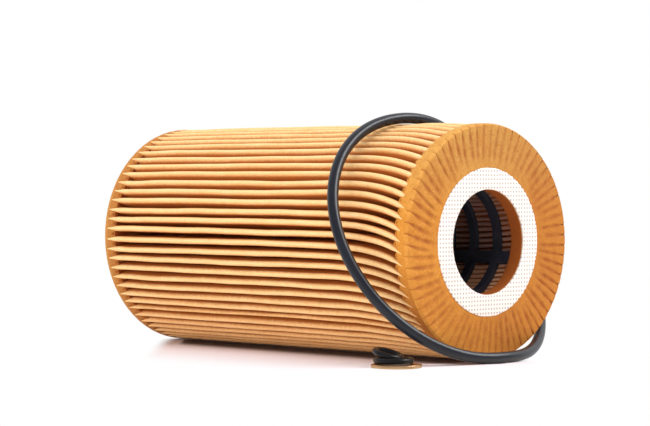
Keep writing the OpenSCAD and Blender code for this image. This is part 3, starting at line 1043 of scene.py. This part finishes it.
def placeCamera():
    turn, tilt = math.radians(view["turn"]), math.radians(view["tilt"])
    back = Vector((math.sin(turn) * math.cos(tilt), -math.cos(turn) * math.cos(tilt), math.sin(tilt)))
    data = bpy.data.cameras.new("camera")
    data.lens = view["lens"]
    data.sensor_width = view["sensor"]
    data.clip_end = view["reach"]
    camera = bpy.data.objects.new("camera", data)
    camera.location = view["place"]
    camera.rotation_euler = back.to_track_quat("Z", "Y").to_euler()
    bpy.context.scene.collection.objects.link(camera)
    bpy.context.scene.camera = camera


# white sweep and soft studio light
studio = {
    "skyLow": 0.40,                   # light of the sky near the horizon and overhead
    "skyHigh": 0.50,
    "skyTurn": (-0.1, 1.0),
    "backdrop": (-0.66, 0.75),        # side of the white backdrop
    "backdropEdge": (0.0, 0.5),
    "floor": 6.0,
    "floorColour": (0.98, 0.885, 0.815),
    "floorRough": 0.6,
    "floorGloss": 0.15,
    "floorShade": (0.84, 0.75, 0.78),   # painted shade: a darker floor colour that only the camera sees, near the element
    "contactShadow": (0.075, 0.055, 0.052),   # painted contact shadow close under it
    "contactShadowFrom": 0.014,
    "contactShadowTo": 0.026,
    "shadowEnds": (-0.135, 0.010),    # the floor keeps its shadow along this stretch of the element
    "shadowSlant": (0.85, 0.45),      # which grows shorter away from it, at the far and near end
    "shadowTaper": 0.015,             # the shadow grows narrower over this length past the ends
    "shadowPast": 5.0,
    "shadowBack": (4.0, 0.035),       # and it is narrow behind the element
    "shadowFrom": 0.036,
    "shadowTo": 0.080,
    "lamps": (
        # name, place, aimed at, width, height, watts, shown in shiny pieces
        ("keySoft", (0.58, 0.62, 0.84), (-0.03, 0.0, 0.0), 0.75, 0.40, 9.0, True),
        ("topSoft", (0.10, -0.30, 1.12), (-0.05, 0.0, 0.0), 1.0, 0.9, 9.0, False),
        ("lowCard", (-0.25, -1.15, 0.28), (-0.06, 0.0, 0.0), 2.0, 0.45, 8.7, False),
    ),
}


def buildSky():
    # brighter overhead, and plain white where the camera sees it
    world = bpy.data.worlds.new("studioWhite")
    bpy.context.scene.world = world
    sky = Graph(world)
    x, y, up = sky.axes(sky.node("ShaderNodeTexCoord", out="Generated"))
    light = sky.steps(up, *studio["skyTurn"], studio["skyLow"], studio["skyHigh"])
    behind = sky.steps(x * studio["backdrop"][0] + y * studio["backdrop"][1], *studio["backdropEdge"])
    camera, mirrored = sky.rays()
    background = sky.tree.nodes["Background"]
    sky.feed(background.inputs["Color"], (1.0, 1.0, 1.0))
    sky.feed(background.inputs["Strength"], light + (camera + mirrored * behind) * (1.0 - light))


def floorFinish():
    # along the element the camera sees the real shadow on a painted darker floor colour and a painted
    # contact shadow, and farther away plain white
    f = Finish("floorWhite")
    camera, mirrored = f.rays()
    x, y = f.axes(f.place)[:2]
    (low, high), (slantLow, slantHigh) = studio["shadowEnds"], studio["shadowSlant"]
    ends = {"Value": x, "Min": low - y * slantLow, "Max": high + y * slantHigh}
    beyond = x - f.node("ShaderNodeClamp", None, ends)
    times, back = studio["shadowBack"]
    side = y.maths("MAXIMUM", 0.0 - y, y * times + back)
    taper = beyond / studio["shadowTaper"]
    side = side * (1.0 + taper * taper)
    beyond = beyond * studio["shadowPast"]
    apart = (beyond * beyond + side * side) ** 0.5
    # painted contact shadow close under the element
    lit = f.steps(apart, studio["contactShadowFrom"], studio["contactShadowTo"])
    shade = f.mix(lit, studio["contactShadow"], studio["floorShade"])
    # the camera sees the painted shade, light bounces off the plain floor colour
    f.set(Base_Color=f.mix(camera, studio["floorColour"], shade), Roughness=studio["floorRough"],
          Specular_IOR_Level=studio["floorGloss"])
    seen = camera.maths("MAXIMUM", camera, mirrored)
    white = f.steps(apart, studio["shadowFrom"], studio["shadowTo"]) * seen
    glow = f.node("ShaderNodeEmission", None, {"Color": (1.0, 1.0, 1.0), "Strength": 1.0})
    mixed = f.node("ShaderNodeMixShader", None, {0: white, 1: Value(f, f.shader.outputs[0]), 2: glow})
    f.feed(f.tree.nodes["Material Output"].inputs["Surface"], mixed)
    return f.material


def buildStudio():
    scene = bpy.context.scene
    scene.view_settings.view_transform = "Standard"
    buildSky()
    half = studio["floor"] / 2
    mesh = bpy.data.meshes.new("floor")
    corners = ((-half, -half), (half, -half), (half, half), (-half, half))
    mesh.from_pydata([(x, y, floorZ) for x, y in corners], [], [(0, 1, 2, 3)])
    mesh.materials.append(floorFinish())
    floor = bpy.data.objects.new("floor", mesh)
    scene.collection.objects.link(floor)
    for name, place, aim, width, height, watts, mirrored in studio["lamps"]:
        data = bpy.data.lights.new(name, "AREA")
        data.shape = "RECTANGLE"
        data.size = width
        data.size_y = height
        data.energy = watts
        lamp = bpy.data.objects.new(name, data)
        lamp.visible_glossy = mirrored
        lamp.location = place
        lamp.rotation_euler = (Vector(place) - Vector(aim)).to_track_quat("Z", "Y").to_euler()
        scene.collection.objects.link(lamp)


placeCamera()
buildStudio()
print("camera and studio ready")

feltLook = feltFinish()
sealLook = sealFinish()
coverRubber = rubberFinish("coverRubber", ring["cover"])
stemRubber = rubberFinish("stemRubber", ring["stem"])
buildMedium()
buildSeam()
buildDisc("nearFelt", "near_end_disc", False)
buildDisc("farFelt", "far_end_disc", True)
buildSeal("nearSeal", "near_seal_ring", False)
buildSeal("farSeal", "far_seal_ring", True)
core = frame["nodes"]["support_core"]
core.data.materials.clear()
core.data.materials.append(coreFinish())
buildRing("coverRing", "cover_o_ring", "cover_ring", ring["coverColumns"], coverRubber)
buildRing("lowerStemRing", "lower_stem_o_ring", "lower_ring", ring["stemColumns"], stemRubber)
buildRing("upperStemRing", "upper_stem_o_ring", "upper_ring", ring["stemColumns"], stemRubber)
buildWasher()
